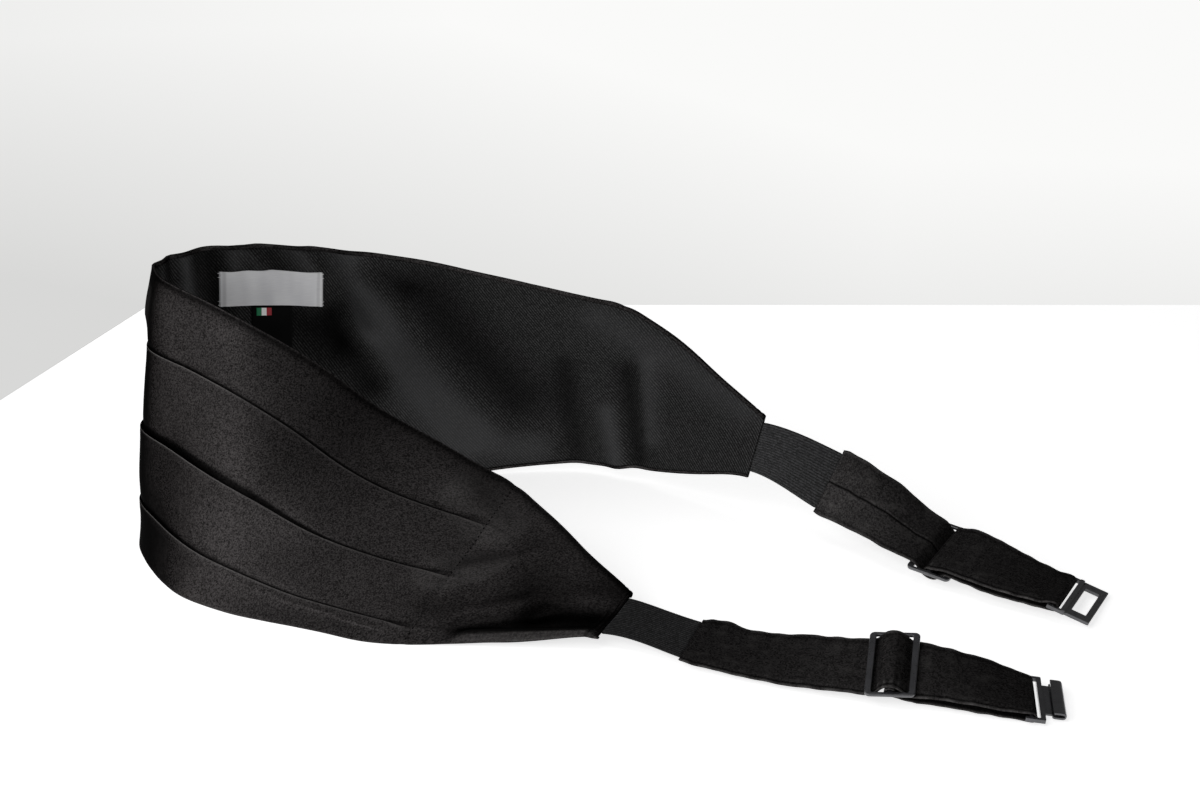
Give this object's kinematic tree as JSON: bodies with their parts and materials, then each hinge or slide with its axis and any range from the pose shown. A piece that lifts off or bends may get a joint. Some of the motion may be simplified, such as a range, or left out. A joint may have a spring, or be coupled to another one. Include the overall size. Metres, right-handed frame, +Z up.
{
  "type": "cummerbund",
  "caption": "Pleated waist sash standing open on its lower edge, lined, with elastics, adjustable straps, sliders and a hook and eye clasp.",
  "frame": {"origin": "middle of the base's outline box, on the surface that the sash stands on", "axes": "+X from the closed centre front towards the clasps, +Y from the hook arm to the eye arm, +Z up"},
  "size_m": [0.4437, 0.264, 0.1297],
  "materials": {
    "satin": "black satin, shiny side out",
    "lining_twill": "fine black lining twill",
    "elastic": "matt ribbed black elastic",
    "strap_satin": "black satin sewn into a flat strap",
    "black_metal": "black paint, satin gloss",
    "label_satin": "silver-grey label satin",
    "care_ribbon": "black printed ribbon"
  },
  "bodies": {
    "sash": {"satin_front": "satin", "lining": "lining_twill", "elastic_hook_side": "elastic", "elastic_eye_side": "elastic", "strap_hook_side": "strap_satin", "strap_eye_side": "strap_satin", "slider_hook_side": "black_metal", "slider_eye_side": "black_metal", "name_label": "label_satin", "care_label": "care_ribbon"},
    "hook": {"hook_clasp": "black_metal"},
    "eye": {"eye_clasp": "black_metal"}
  },
  "joints": [
    {"name": "hook_swing", "type": "hinge", "parent": "sash", "child": "hook", "pos_m": [0.17231, -0.11315, 0.00297], "axis": [-0.0739, -0.997, -0.0231], "range_deg": [0, 90]},
    {"name": "eye_swing", "type": "hinge", "parent": "sash", "child": "eye", "pos_m": [0.19975, -0.02054, 0.00665], "axis": [-0.3971, -0.917, 0.0381], "range_deg": [0, 90]}
  ]
}
